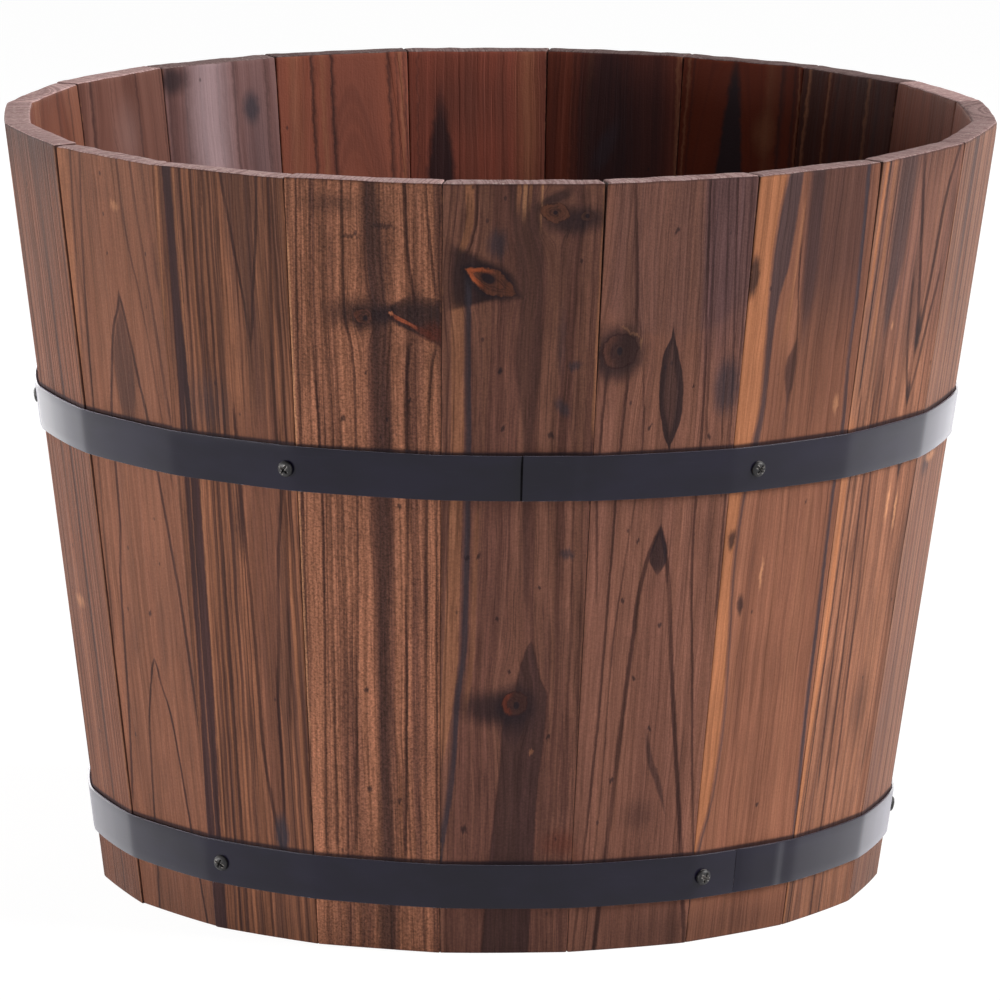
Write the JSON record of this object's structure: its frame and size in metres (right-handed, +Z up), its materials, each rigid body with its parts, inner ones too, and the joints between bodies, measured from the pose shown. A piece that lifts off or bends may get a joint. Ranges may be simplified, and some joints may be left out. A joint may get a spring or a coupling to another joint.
{
  "type": "wooden barrel planter",
  "caption": "Round tapered planter tub of flat bevelled wooden staves, held by two screwed steel hoops, with a drained board bottom.",
  "frame": {"origin": "centre of the base, on the surface that the planter stands on", "axes": "+Z up along the tub's axis, -Y towards the front, +X to the right seen from the front"},
  "size_m": [0.444, 0.444, 0.345],
  "materials": {
    "stave_wood": "scorched and brushed softwood with a thin brown stain, satin",
    "bottom_wood": "sawn softwood with a thin brown stain, matt",
    "hoop_steel": "black paint on steel strip, satin",
    "black_screw": "black oxide, satin",
    "zinc_steel": "zinc plated"
  },
  "bodies": {
    "root": {"stave_01": "stave_wood", "stave_02": "stave_wood", "stave_03": "stave_wood", "stave_04": "stave_wood", "stave_05": "stave_wood", "stave_06": "stave_wood", "stave_07": "stave_wood", "stave_08": "stave_wood", "stave_09": "stave_wood", "stave_10": "stave_wood", "stave_11": "stave_wood", "stave_12": "stave_wood", "stave_13": "stave_wood", "stave_14": "stave_wood", "stave_15": "stave_wood", "stave_16": "stave_wood", "stave_17": "stave_wood", "stave_18": "stave_wood", "stave_19": "stave_wood", "stave_20": "stave_wood", "upper_hoop": "hoop_steel", "lower_hoop": "hoop_steel", "upper_hoop_screws": "black_screw", "lower_hoop_screws": "black_screw", "bottom_board_1": "bottom_wood", "bottom_board_2": "bottom_wood", "bottom_board_3": "bottom_wood", "bottom_board_4": "bottom_wood", "bottom_board_5": "bottom_wood", "cleat_left": "bottom_wood", "cleat_right": "bottom_wood", "cleat_screws": "zinc_steel", "bottom_nails": "zinc_steel"}
  },
  "joints": []
}
